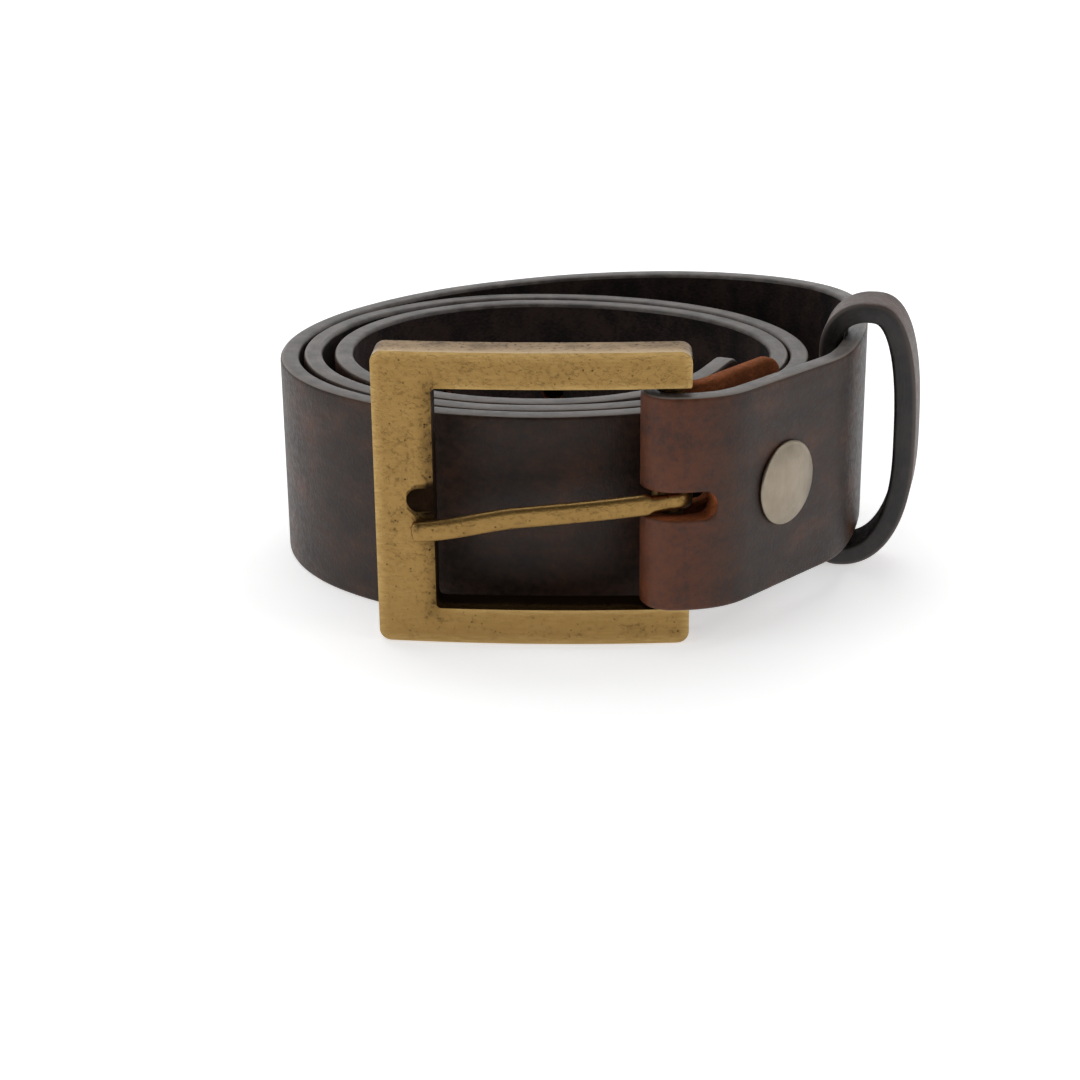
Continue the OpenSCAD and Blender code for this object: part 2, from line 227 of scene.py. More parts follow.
def flesh_side(name, dark, light):
    """Back of the leather, dyed through: short matt fibres with no gloss."""
    material, tree, surface = new_material(name, IOR=1.45, Roughness=0.92)
    surface.inputs["Specular IOR Level"].default_value = 0.25
    flat = add(tree, "ShaderNodeAttribute", attribute_name="flat").outputs["Vector"]
    nap = noise(tree, flat, 0.5 * MM, 6.0, 0.7, (1.8, 1, 1))
    patches = noise(tree, flat, 6 * MM, 3.0, 0.55)
    tone = math_of(tree, "ADD", math_of(tree, "MULTIPLY", nap, 0.9), patches)
    tree.links.new(
        blend(tree, ramp(tree, tone, 0.75, 1.15), dark, light), surface.inputs["Base Color"]
    )
    bumped(tree, surface, nap, 0.22 * MM, 0.9)
    return material


def antiqued_brass(name, looks):
    """Cast brass, darkened in a bath and rubbed back: bright on the front and the corners, the corners
    partly worn bright and partly a painted highlight; brown in the recesses and on the walls, partly
    patina and partly painted shade; with small casting pits and a satin gloss."""
    material, tree, surface = new_material(name, Metallic=1.0)
    place = add(tree, "ShaderNodeTexCoord").outputs["Object"]
    patina = add(tree, "ShaderNodeAttribute", attribute_name="patina").outputs["Fac"]
    clouds = noise(tree, place, 5 * MM, 5.0, 0.62)
    specks = noise(tree, place, 0.8 * MM, 4.0, 0.6)
    # The stored value darkens the brass towards the brown: patina in the recesses together with painted
    # shade on the walls.
    stain_and_shade = math_of(tree, "ADD", patina, ramp(tree, clouds, 0.36, 0.72, -0.05, 0.25))
    stain_and_shade = math_of(tree, "ADD", stain_and_shade, ramp(tree, specks, 0.52, 0.7, 0.0, 0.32))
    dots = add(
        tree, "ShaderNodeTexVoronoi", {"Vector": place, "Scale": 1 / (1.7 * MM)}, feature="F1"
    ).outputs["Distance"]
    stain_and_shade = math_of(tree, "ADD", stain_and_shade, ramp(tree, dots, 0.16, 0.06, 0.0, 0.5))
    brushed = noise(tree, place, 0.5 * MM, 4.0, 0.65, (8, 1, 1))
    # Where the stored value drops below zero along the edges, the brass turns bright: wear together
    # with a painted highlight.
    rubbed = math_of(tree, "SUBTRACT", ramp(tree, brushed, 0.3, 0.7, 0.0, 0.2), patina)
    brass = blend(tree, ramp(tree, rubbed, 0.0, 1.0), looks.brass, looks.bright)
    tree.links.new(
        blend(tree, ramp(tree, stain_and_shade, 0.05, 1.05), brass, looks.patina),
        surface.inputs["Base Color"],
    )
    tree.links.new(ramp(tree, stain_and_shade, 0.0, 1.0, 0.3, 0.58), surface.inputs["Roughness"])
    pits = math_of(tree, "MULTIPLY", ramp(tree, specks, 0.62, 0.5), 0.4)
    bumped(tree, surface, math_of(tree, "ADD", clouds, pits), 0.12 * MM, 0.5)
    return material


def dulled_brass(name, looks):
    """Turned brass pin left in the darkening bath: even, brown and nearly matt."""
    material, tree, surface = new_material(name, Metallic=1.0, Roughness=0.5)
    place = add(tree, "ShaderNodeTexCoord").outputs["Object"]
    rings = noise(tree, place, 0.6 * MM, 4.0, 0.6, (4, 4, 0.5))
    tree.links.new(
        blend(tree, ramp(tree, rings, 0.35, 0.7), looks.patina, looks.brass),
        surface.inputs["Base Color"],
    )
    bumped(tree, surface, rings, 0.03 * MM, 0.5)
    return material


def satin_nickel(name, tint, shade):
    """Nickel plate over pressed brass, tumbled to a satin: a warm grey with a broad, soft
    highlight, faint clouds and a few fine scratches."""
    material, tree, surface = new_material(name, Metallic=1.0)
    place = add(tree, "ShaderNodeTexCoord").outputs["Object"]
    clouds = noise(tree, place, 3 * MM, 4.0, 0.55)
    scratches = noise(tree, place, 0.25 * MM, 3.0, 0.6, (1, 1, 9))
    tree.links.new(
        blend(tree, ramp(tree, clouds, 0.2, 0.8), shade, tint), surface.inputs["Base Color"]
    )
    tree.links.new(ramp(tree, scratches, 0.35, 0.7, 0.3, 0.44), surface.inputs["Roughness"])
    bumped(tree, surface, scratches, 0.01 * MM, 0.4)
    return material


def drawn_wire(name, steel):
    """Bright drawn steel wire: pale grey with lines along the wire."""
    material, tree, surface = new_material(name, Metallic=1.0)
    place = add(tree, "ShaderNodeTexCoord").outputs["Object"]
    lines = noise(tree, place, 0.2 * MM, 3.0, 0.6, (1, 12, 1))
    surface.inputs["Base Color"].default_value = (*steel, 1)
    tree.links.new(ramp(tree, lines, 0.3, 0.7, 0.22, 0.42), surface.inputs["Roughness"])
    return material


def matt_card(name, white):
    """Matt white backdrop card, lit through from behind."""
    material, tree, surface = new_material(name, Roughness=0.9)
    surface.inputs["Emission Color"].default_value = (1, 1, 1, 1)
    surface.inputs["Emission Strength"].default_value = 0.52
    place = add(tree, "ShaderNodeTexCoord").outputs["Object"]
    tooth = noise(tree, place, 2 * MM, 3.0, 0.5)
    shade = [0.985 * c for c in white]
    tree.links.new(
        blend(tree, ramp(tree, tooth, 0.3, 0.7), shade, white), surface.inputs["Base Color"]
    )
    return material


# ---- the strap's line ----
def along(h):
    """Unit vector along a heading in degrees, in plan."""
    return Vector((math.cos(math.radians(h)), math.sin(math.radians(h))))


def inward(h):
    """Unit vector to the left of a heading, towards the flesh side."""
    return Vector((-math.sin(math.radians(h)), math.cos(math.radians(h))))


def bend_start(p, h, radius, turn):
    """Point where a left-hand bend that ends at p on heading h begins."""
    return p + radius * (inward(h) - inward(h - turn))


def bend_end(p, h, radius, turn):
    """Point where a left-hand bend that begins at p on heading h ends."""
    return p + radius * (inward(h) - inward(h + turn))


def bend_walk(p, h, radius, turn):
    """Points and headings along a bend, without its last point."""
    n = math.ceil(radius * math.radians(turn) / ROUTE_STEP)
    return [(bend_end(p, h, radius, turn * i / n), h + turn * i / n) for i in range(n)]


def run_walk(p, h, length):
    """Points and headings along a straight run, without its last point."""
    n = math.ceil(length / ROUTE_STEP)
    return [(p + length * i / n * along(h), h) for i in range(n)]


def quarter_walk(p, q, k):
    """Quarter k of an oval coil, from the reach point p to the next one, q."""
    centre = Vector((q.x, p.y)) if k % 2 == 0 else Vector((p.x, q.y))
    a, b = abs(p.x - q.x), abs(p.y - q.y)
    n = math.ceil(0.8 * (a + b) / ROUTE_STEP)
    walk = []
    for i in range(n):
        t = math.radians(90 * (k + i / n))
        heading = math.degrees(math.atan2(b * math.cos(t), -a * math.sin(t)))
        walk.append((centre + Vector((a * math.cos(t), b * math.sin(t))), heading))
    return walk


def layout(scene):
    """The strap's grain-face line, its lengths, and where the other pieces hang, in the frame."""
    strap, bar_d = scene.belt_strap, scene.belt_buckle.bar_d
    fold_r = bar_d / 2 + FOLD_GAP
    slack_h = 90 - SLACK_TURN
    slack_p = bend_start(REACH[0], 90, SLACK_R, SLACK_TURN)
    snap_h = slack_h - FAR_TURN
    far_p = bend_start(slack_p, slack_h, FAR_R, FAR_TURN)
    snap_p = far_p - SNAP_RUN * along(snap_h)
    front_p = bend_start(snap_p, snap_h, NEAR_R, snap_h)
    heel = front_p + Vector((-HEEL_STEP, strap.thickness + fold_r))

    front = bend_walk(front_p, 0, NEAR_R, snap_h) + run_walk(snap_p, snap_h, FLAP_RUN)
    flap_in = strap.thickness + 2 * fold_r + strap.flap_thickness
    flap = [(p + flap_in * inward(h), h + 180) for p, h in reversed(front)]
    fold = []
    for i in range(37):
        turn = 5 * i
        grow = (strap.thickness - strap.flap_thickness) * turn / 180
        reach = fold_r + strap.flap_thickness + grow
        fold.append((heel - reach * inward(turn + 180), turn + 180))
    tail_end = bend_end(REACH[-1], 0, TAIL_R, TAIL_TURN)
    walk = flap + fold + front
    walk += run_walk(snap_p + FLAP_RUN * along(snap_h), snap_h, SNAP_RUN - FLAP_RUN)
    walk += bend_walk(far_p, snap_h, FAR_R, FAR_TURN)
    walk += bend_walk(slack_p, slack_h, SLACK_R, SLACK_TURN)
    for k in range(len(REACH) - 1):
        walk += quarter_walk(REACH[k], REACH[k + 1], k)
    walk += bend_walk(REACH[-1], 0, TAIL_R, TAIL_TURN) + run_walk(tail_end, TAIL_TURN, TAIL_RUN)
    walk.append((tail_end + TAIL_RUN * along(TAIL_TURN), TAIL_TURN))

    runs = [0.0]
    for (p, _), (q, _) in zip(walk, walk[1:]):
        runs.append(runs[-1] + (q - p).length)
    low, high = (Vector(corner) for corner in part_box("heel_bar"))
    shift = ((low + high) / 2).xy - heel
    keeper_h = slack_h + math.degrees(scene.belt_keeper.turn)
    keeper_p = bend_end(slack_p, slack_h, SLACK_R, keeper_h - slack_h)
    return SimpleNamespace(
        points=[p + shift for p, _ in walk],
        runs=runs,
        total=runs[-1],
        fold_start=runs[len(flap)],
        fold_end=runs[len(flap) + len(fold) - 1],
        heel=heel + shift,
        snap=snap_p + SNAP_PLACE * along(snap_h) + shift,
        snap_h=snap_h,
        snap_run=NEAR_R * math.radians(snap_h) + SNAP_PLACE,
        keeper=keeper_p + shift,
        keeper_h=keeper_h,
    )


def lift(strap, past_fold):
    """Height of the strap's lower edge, that far past the fold: the tall buckle holds it up."""
    part = min(1, max(0, past_fold) / strap.settle)
    return strap.lift * (1 + math.cos(math.pi * part)) / 2


# ---- strips of leather ----
def cut_corner(distance, radius):
    """Depth taken off at that distance from an end whose corner has that radius."""
    if distance >= radius:
        return 0.0
    return radius - math.sqrt(radius**2 - (radius - distance) ** 2)


def arc(centre, radius, start, end, n):
    """Points of an arc, from start towards end in degrees, without its last point."""
    turns = [math.radians(start + (end - start) * i / n) for i in range(n)]
    return [(centre[0] + radius * math.cos(a), centre[1] + radius * math.sin(a)) for a in turns]


def oval(centre, reach, power, start, end, n):
    """Points of a squared-off quarter oval, without its last point."""
    turns = [math.radians(start + (end - start) * i / n) for i in range(n)]
    return [
        (
            centre[0] + reach[0] * abs(math.cos(a)) ** (2 / power),
            centre[1] + reach[1] * abs(math.sin(a)) ** (2 / power),
        )
        for a in turns
    ]


def line(p, q, n):
    """Points of a straight line, without its last point."""
    return [(p[0] + (q[0] - p[0]) * i / n, p[1] + (q[1] - p[1]) * i / n) for i in range(n)]


# Steps round a strip's section, and the finish of each step
FACE_STEPS, CORNER_STEPS, EDGE_STEPS = 12, 4, 2
SECTION_FINISH = (
    [GRAIN] * FACE_STEPS
    + [GRAIN] * 2
    + [EDGE] * (2 * CORNER_STEPS + EDGE_STEPS - 2)
    + [FLESH] * FACE_STEPS
    + [EDGE] * (2 * CORNER_STEPS + EDGE_STEPS - 2)
    + [GRAIN] * 2
)


def section(near, far, low, high, r):
    """Outline of a strip's section, round from the grain face's lower corner."""
    r = min(r, 0.45 * (far - near))
    points = line((near, low + r), (near, high - r), FACE_STEPS)
    points += arc((near + r, high - r), r, 180, 90, CORNER_STEPS)
    points += line((near + r, high), (far - r, high), EDGE_STEPS)
    points += arc((far - r, high - r), r, 90, 0, CORNER_STEPS)
    points += line((far, high - r), (far, low + r), FACE_STEPS)
    points += arc((far - r, low + r), r, 0, -90, CORNER_STEPS)
    points += line((far - r, low), (near + r, low), EDGE_STEPS)
    points += arc((near + r, low + r), r, -90, -180, CORNER_STEPS)
    return points


def stations(length, fine):
    """Places along a strip for its sections: close together at the ends and where it is fine."""
    ends = [d * MM for d in (0, 0.05, 0.15, 0.3, 0.5, 0.75)]
    places = ends + [length - d for d in reversed(ends)]
    x = 1.1 * MM
    while x < length - 1.1 * MM:
        places.append(x)
        x += 0.5 * MM if any(a < x < b for a, b in fine) else 1.6 * MM
    return sorted(places)


def flat_strip(name, places, thickness, trim, width, rounding, finishes, raw_until=0.0):
    """Closed strip of leather lying flat: X is its length, Y its depth from the grain face and
    Z its width. Its flesh side and edges are raw up to raw_until."""
    length = places[-1]
    points, faces, finish = [], [], []
    for x in places:
        ease = cut_corner(min(x, length - x), 0.7 * MM)
        low = trim(x) + ease
        ring = section(ease, thickness(x) - ease, low, width - low, rounding)
        points += [(x, n, z) for n, z in ring]
    m = len(SECTION_FINISH)
    for i in range(len(places) - 1):
        for k in range(m):
            j = (k + 1) % m
            faces.append((m * i + k, m * i + m + k, m * i + m + j, m * i + j))
            skived = SECTION_FINISH[k] != GRAIN and places[i] < raw_until
            finish.append(RAW if skived else SECTION_FINISH[k])
    last = m * (len(places) - 1)
    faces += [tuple(range(m)), tuple(range(last + m - 1, last - 1, -1))]
    finish += [RAW if raw_until else EDGE, EDGE]
    strip = solid(name, points, faces, finishes)
    strip.data.polygons.foreach_set("material_index", finish)
    return strip


def turn_outwards(mesh):
    """Turns the faces of a closed mesh outwards."""
    work = bmesh.new()
    work.from_mesh(mesh)
    bmesh.ops.recalc_face_normals(work, faces=work.faces)
    work.to_mesh(mesh)
    work.free()


def solid(name, points, faces, materials):
    """Smooth closed mesh object with its faces turned outwards."""
    mesh = bpy.data.meshes.new(name)
    mesh.from_pydata(points, [], faces)
    turn_outwards(mesh)
    for material in materials:
        mesh.materials.append(material)
    mesh.shade_smooth()
    made = bpy.data.objects.new(name, mesh)
    bpy.context.scene.collection.objects.link(made)
    return made


def settle(piece):
    """Turns the piece's evaluated shape to its plain mesh and drops its modifiers."""
    bpy.context.view_layer.update()
    seen = piece.evaluated_get(bpy.context.evaluated_depsgraph_get())
    mesh = bpy.data.meshes.new_from_object(seen)
    old, name = piece.data, piece.data.name
    piece.modifiers.clear()
    piece.data = mesh
    bpy.data.meshes.remove(old)
    mesh.name = name


def cut_away(piece, *cutters):
    """Takes the cutters out of the piece; the cut faces keep the cutter's material."""
    for cutter in cutters:
        cut = piece.modifiers.new("cut", "BOOLEAN")
        cut.operation = "DIFFERENCE"
        cut.solver = "EXACT"
        cut.material_mode = "TRANSFER"
        cut.object = cutter
    settle(piece)
    for cutter in cutters:
        bpy.data.objects.remove(cutter, do_unlink=True)


def new_tree(name, inputs):
    """Empty geometry node tree with named inputs; returns it, its input node and a lookup from
    an input's name to its identifier."""
    tree = bpy.data.node_groups.new(name, "GeometryNodeTree")
    tree.interface.new_socket("Geometry", in_out="OUTPUT", socket_type="NodeSocketGeometry")
    tree.interface.new_socket("Geometry", in_out="INPUT", socket_type="NodeSocketGeometry")
    ids = {}
    for label, kind in inputs.items():
        made = tree.interface.new_socket(label, in_out="INPUT", socket_type="NodeSocket" + kind)
        ids[label] = made.identifier
    return tree, add(tree, "NodeGroupInput").outputs, ids


def repeat_on(tree, row, shape, material):
    """Ends a tree with the shape repeated on the row's points, in one material."""
    placed = add(
        tree, "GeometryNodeInstanceOnPoints", {"Points": row.outputs[0], "Instance": shape.outputs[0]}
    )
    real = add(tree, "GeometryNodeRealizeInstances", {0: placed.outputs[0]})
    named = add(
        tree, "GeometryNodeSetMaterial", {"Geometry": real.outputs[0], "Material": material}
    )
    add(tree, "NodeGroupOutput", {0: named.outputs[0]})


def run_tree(piece, tree, ids, values):
    """Runs a geometry node tree on the piece and keeps the result as its plain mesh."""
    modifier = piece.modifiers.new(tree.name, "NODES")
    modifier.node_group = tree
    for label, value in values.items():
        modifier[ids[label]] = value
    settle(piece)
    bpy.data.node_groups.remove(tree)


def bending_tree(finishes):
    """Tree that bends a flat strip along a path. It keeps each point's flat place as an
    attribute, and gives each face the material of its finish."""
    tree, given, ids = new_tree(
        "bend_along_path",
        {"Path": "Object", "Across": "Vector", "Waviness": "Float", "Wave Length": "Float"},
    )
    place = add(tree, "GeometryNodeInputPosition").outputs[0]
    kept = add(
        tree,
        "GeometryNodeStoreNamedAttribute",
        {"Geometry": given["Geometry"], "Name": "flat", "Value": place},
        data_type="FLOAT_VECTOR",
        domain="POINT",
    )
    flat = add(tree, "ShaderNodeSeparateXYZ", {0: place}).outputs
    path = add(tree, "GeometryNodeObjectInfo", {"Object": given["Path"]})
    sample = add(
        tree,
        "GeometryNodeSampleCurve",
        {"Curves": path.outputs["Geometry"], "Length": flat[0]},
        mode="LENGTH",
    )

    def vector(operation, first, second, scale=None):
        inputs = {0: first, 1: second} if scale is None else {0: first, "Scale": scale}
        return add(tree, "ShaderNodeVectorMath", inputs, operation=operation).outputs[0]

    across = given["Across"]
    slope = vector("PROJECT", sample.outputs["Tangent"], across)
    ahead = vector("NORMALIZE", vector("SUBTRACT", sample.outputs["Tangent"], slope), (0, 0, 0))
    deep = vector("CROSS_PRODUCT", across, ahead)
    wave = add(
        tree,
        "ShaderNodeTexNoise",
        {
            "W": math_of(tree, "DIVIDE", flat[0], given["Wave Length"]),
            "Scale": 1.0,
            "Detail": 2.0,
        },
        noise_dimensions="1D",
    ).outputs[0]
    sway = math_of(tree, "MULTIPLY", math_of(tree, "SUBTRACT", wave, 0.5), given["Waviness"])
    depth = math_of(tree, "ADD", flat[1], sway)
    height = math_of(tree, "ADD", flat[2], sway)
    bent = vector("ADD", sample.outputs["Position"], vector("SCALE", deep, None, depth))
    bent = vector("ADD", bent, vector("SCALE", across, None, height))
    moved = add(
        tree, "GeometryNodeSetPosition", {"Geometry": kept.outputs[0], "Position": bent}
    )
    shape = add(tree, "GeometryNodeRealizeInstances", {0: moved.outputs[0]}).outputs[0]
    finish = add(
        tree, "GeometryNodeInputNamedAttribute", {"Name": "finish"}, data_type="INT"
    ).outputs[0]
    for number, material in enumerate(finishes):
        chosen = add(
            tree,
            "FunctionNodeCompare",
            {2: finish, 3: number},
            data_type="INT",
            operation="EQUAL",
        )
        shape = add(
            tree,
            "GeometryNodeSetMaterial",
            {"Geometry": shape, "Selection": chosen.outputs[0], "Material": material},
        ).outputs[0]
    add(tree, "NodeGroupOutput", {0: shape})
    return tree, ids


def bend_strip(strip, finishes, path_points, across, waviness):
    """Bends a flat strip along the path, with its width along across."""
    numbers = [0] * len(strip.data.polygons)
    strip.data.polygons.foreach_get("material_index", numbers)
    names = [m.name for m in strip.data.materials]
    order = [[m.name for m in finishes].index(name) for name in names]
    strip.data.attributes.new("finish", "INT", "FACE").data.foreach_set(
        "value", [order[i] for i in numbers]
    )
    curve = bpy.data.curves.new("path", "CURVE")
    curve.dimensions = "3D"
    spline = curve.splines.new("POLY")
    spline.points.add(len(path_points) - 1)
    for point, place in zip(spline.points, path_points):
        point.co = (*place, 1)
    path = bpy.data.objects.new("path", curve)
    bpy.context.scene.collection.objects.link(path)
    tree, ids = bending_tree(finishes)
    values = {"Path": path, "Across": across, "Waviness": waviness, "Wave Length": 30 * MM}
    run_tree(strip, tree, ids, values)
    strip.data.attributes.remove(strip.data.attributes["finish"])
    bpy.data.curves.remove(curve)


def punches(material, last, width, strap):
    """Row of round punches across the flat tail, one for each adjustment hole."""
    tree, given, ids = new_tree(
        "punch_row",
        {
            "Count": "Int",
            "Start": "Vector",
            "Pitch": "Vector",
            "Radius": "Float",
            "Reach": "Float",
            "Material": "Material",
        },
    )
    row = add(
        tree,
        "GeometryNodeMeshLine",
        {"Count": given["Count"], "Start Location": given["Start"], "Offset": given["Pitch"]},
    )
    punch = add(
        tree,
        "GeometryNodeMeshCylinder",
        {"Vertices": 40, "Radius": given["Radius"], "Depth": given["Reach"]},
    )
    turned = add(
        tree, "GeometryNodeTransform", {0: punch.outputs["Mesh"], "Rotation": (math.pi / 2, 0, 0)}
    )
    repeat_on(tree, row, turned, given["Material"])
    row_object = solid("punch_row", [], [], [material])
    values = {
        "Count": strap.hole_count,
        "Start": (last - strap.hole_first, strap.thickness / 2, width / 2),
        "Pitch": (-strap.hole_pitch, 0, 0),
        "Radius": strap.hole_d / 2,
        "Reach": 3 * strap.thickness,
        "Material": material,
    }
    run_tree(row_object, tree, ids, values)
    return row_object


def slot_punch(material, start, end, height, mid):
    """Oblong punch with round ends, cut into short steps so that it bends with the fold."""
    r = height / 2
    n = math.ceil((end - start - height) / (0.5 * MM))
    outline = line((start + r, mid - r), (end - r, mid - r), n)
    outline += arc((end - r, mid), r, -90, 90, 16)
    outline += line((end - r, mid + r), (start + r, mid + r), n)
    outline += arc((start + r, mid), r, 90, 270, 16)
    count = len(outline)
    points = [(x, y, z) for y in (-3 * MM, 8 * MM) for x, z in outline]
    faces = [(i, (i + 1) % count, count + (i + 1) % count, count + i) for i in range(count)]
    faces += [tuple(range(count)), tuple(range(count, 2 * count))]
    return solid("slot_punch", points, faces, [material])


def record_slot(piece, slot, body, *nodes):
    """Hangs the piece on its body and hides the parts that it stands for; its slot is not used."""
    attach(piece, body)
    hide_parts(*nodes)


# ---- turned, cast and swept pieces ----
def lathe(name, outline, steps, place, material):
    """Closed turned piece: the outline is (radius, height), from the axis back to the axis."""
    points, faces = [], []
    rings = []
    for r, z in outline:
        first = len(points)
        if r == 0:
            points.append((0, 0, z))
            rings.append([first] * steps)
            continue
        turns = [2 * math.pi * i / steps for i in range(steps)]
        points += [(r * math.cos(a), r * math.sin(a), z) for a in turns]
        rings.append(list(range(first, first + steps)))
    for low, high in zip(rings, rings[1:]):
        for i in range(steps):
            j = (i + 1) % steps
            corners = list(dict.fromkeys((low[i], low[j], high[j], high[i])))
            if len(corners) > 2:
                faces.append(corners)
    return solid(name, [place @ Vector(p) for p in points], faces, [material])


def sweep(name, stops, place, material):
    """Bar swept through its stops (centre, ahead, width, thickness), square to ahead, with
    rounded corners and a crowned front."""
    points, faces = [], []
    steps = 24
    for centre, ahead, wide, thick in stops:
        side = (UP - UP.dot(ahead) * ahead).normalized()
        deep = ahead.cross(side)
        for k in range(steps):
            a = 2 * math.pi * k / steps
            c, s = math.cos(a), math.sin(a)
            out = math.copysign(abs(c) ** 0.5, c) * wide / 2
            back = math.copysign(abs(s) ** 0.62, s) * thick / 2
            points.append(place @ (centre + out * side + back * deep))
    for i in range(len(stops) - 1):
        for k in range(steps):
            j = (k + 1) % steps
            faces.append((steps * i + k, steps * i + j, steps * i + steps + j, steps * i + steps + k))
    last = steps * (len(stops) - 1)
    faces += [tuple(range(steps)), tuple(range(last, last + steps))]
    return solid(name, points, faces, [material])


def bow_at(buckle, x):
    """How far back the bowed casting stands at x, counted from the heel bar."""
    half = buckle.length / 2
    middle = buckle.bar_inset - half
    return buckle.bow * (((x - middle) / half) ** 2 - (middle / half) ** 2)


def paint_brass_tone(piece, amount):
    """Stores how dark the brass is at each point, from its place: patina together with painted shade,
    and on the buckle less along the front edges for a painted highlight.
    """
    mesh = piece.data
    values = [amount(v.co) for v in mesh.vertices]
    mesh.attributes.new("patina", "FLOAT", "POINT").data.foreach_set("value", values)


def rounded(corners, steps=8):
    """Outline with square corners (x, z, radius) rounded off."""
    points = []
    for i, (x, z, r) in enumerate(corners):
        here = Vector((x, z))
        back = (Vector(corners[i - 1][:2]) - here).normalized()
        ahead = (Vector(corners[(i + 1) % len(corners)][:2]) - here).normalized()
        centre = here + r * (back + ahead)
        for k in range(steps + 1):
            t = math.radians(90 * k / steps)
            points.append(centre - r * math.cos(t) * ahead - r * math.sin(t) * back)
    return points


# ---- settings ----
class StrapSettings(bpy.types.PropertyGroup):
    """Sizes and colours of the strap."""

    width: size("Width", 38, "Width of the strap")
    thickness: size("Thickness", 3.5, "Thickness of the leather")
    flap_thickness: size("Turn-back", 2.5, "Thickness of the skived turn-back")
    rounding: size("Edge rounding", 0.75, "Rounding of the burnished edges")
    lift: size("Lift", 7, "How far the taller buckle lifts the buckle end")
    flap_lift: size("Turn-back lift", 0.2, "How much more the turn-back's end stands up")
    settle: size("Settling length", 240, "Length over which the buckle end's lift dies away")
    flap_corner: size("Turn-back corner", 4, "Rounding of the turn-back's corners")
    tip_corner: size("Tip corner", 8, "Rounding of the tip's corners")
    slot_h: size("Slot height", 5, "Height of the prong slot")
    slot_reach: size("Slot reach", 7.7, "How far the slot runs into each layer past the fold")
    hole_d: size("Hole diameter", 4.5, "Diameter of an adjustment hole")
    hole_count: IntProperty(name="Holes", description="Number of holes", default=5, min=1, max=7)
    hole_pitch: size("Hole pitch", 25, "Distance between holes")
    hole_first: size("First hole", 75, "Distance from the tip to the nearest hole")
    waviness: size("Waviness", 0.25, "Unevenness of the leather's lie")
    dark: colour("Dark grain", "#1f1512", "Darkest tone of the dyed grain")
    light: colour("Light grain", "#3f2a1e", "Lightest tone of the dyed grain")
    warm: colour("Warm grain", "#683821", "Tone of the grain where it is stretched at the fold")
    edge_dark: colour("Dark edge", "#39322f", "Darkest tone of the burnished edge")
    edge_light: colour("Light edge", "#5d5651", "Lightest tone of the burnished edge")
    edge_worn: colour("Worn edge", "#7d736a", "Worn corner of the burnished edge")
    flesh_dark: colour("Dark flesh", "#14100f", "Darkest tone of the flesh side")
    flesh_light: colour("Light flesh", "#332622", "Lightest tone of the flesh side")
    raw_dark: colour("Dark raw leather", "#74401f", "Darkest tone of the skived leather")
    raw_light: colour("Light raw leather", "#a05a33", "Lightest tone of the skived leather")


class BuckleSettings(bpy.types.PropertyGroup):
    """Sizes and colours of the buckle's frame."""

    length: size("Length", 53.5, "Outer length of the frame")
    height: size("Height", 52, "Outer height of the frame")
    window: size("Window", 39.4, "Height of the window")
    depth: size("Depth", 6.6, "Depth of the frame, front to back")
    bow: size("Bow", 1.4, "Forward bow of the frame")
    rest_bar: size("Rest bar", 10, "Width of the bar that the prong rests on")
    corner: size("Corner", 2, "Rounding of the frame's outer corners")
    softening: size("Softening", 1.3, "Rounding of the casting's long edges")
    bar_d: size("Heel bar", 4, "Diameter of the heel bar")
    bar_inset: size("Bar inset", 3.3, "Distance from the heel bar to the frame's open end")
    turn: angle("Turn", 3, "Turn of the frame towards the coil")
    notch_l: size("Notch length", 4.6, "Length of the prong's notch")
    notch_h: size("Notch height", 4.4, "Height of the prong's notch")
    notch_d: size("Notch depth", 1.2, "Depth of the prong's notch")
    brass: colour("Brass", "#957645", "Brass under the polish")
    # Bright brass also paints the highlights along the casting's front edges.
    bright: colour("Bright brass", "#cfb075", "Brass where it is rubbed bright")
    # The patina brown also paints the shade on the casting's walls.
    patina: colour("Patina", "#33251a", "Brown of the recesses")


class ProngSettings(bpy.types.PropertyGroup):
    """Sizes of the prong."""

    width: size("Width", 3.6, "Width of the blade")
    neck: size("Neck", 2.8, "Width of the hook")
    thickness: size("Thickness", 2, "Thickness of the blade")
    hook: size("Hook wall", 1.6, "Thickness of the hook")
    length: size("Length", 44.5, "Length from the heel bar to the tip")
    droop: angle("Droop", 6.5, "Droop of the blade")
    crook: size("Crook", 1.1, "Drop of the S-bend before the tip")
    swell: size("Swell", 1.2, "Forward swell of the blade near its root")
    rest_gap: size("Rest gap", 0.3, "Clearance between the blade and the rest bar")


class SnapSettings(bpy.types.PropertyGroup):
    """Sizes and colours of the snap."""

    cap_d: size("Cap", 15, "Diameter of the cap")
    rim: size("Rim", 0.7, "Height of the rolled rim")
    dome: size("Dome", 1, "Height of the dome over the rim")
    tube_d: size("Tube", 4.8, "Diameter of the tube under the cap")
    tint: colour("Nickel", "#9b9080", "Satin nickel")
    shade: colour("Nickel shade", "#8d8272", "Cloudy patches of the nickel")


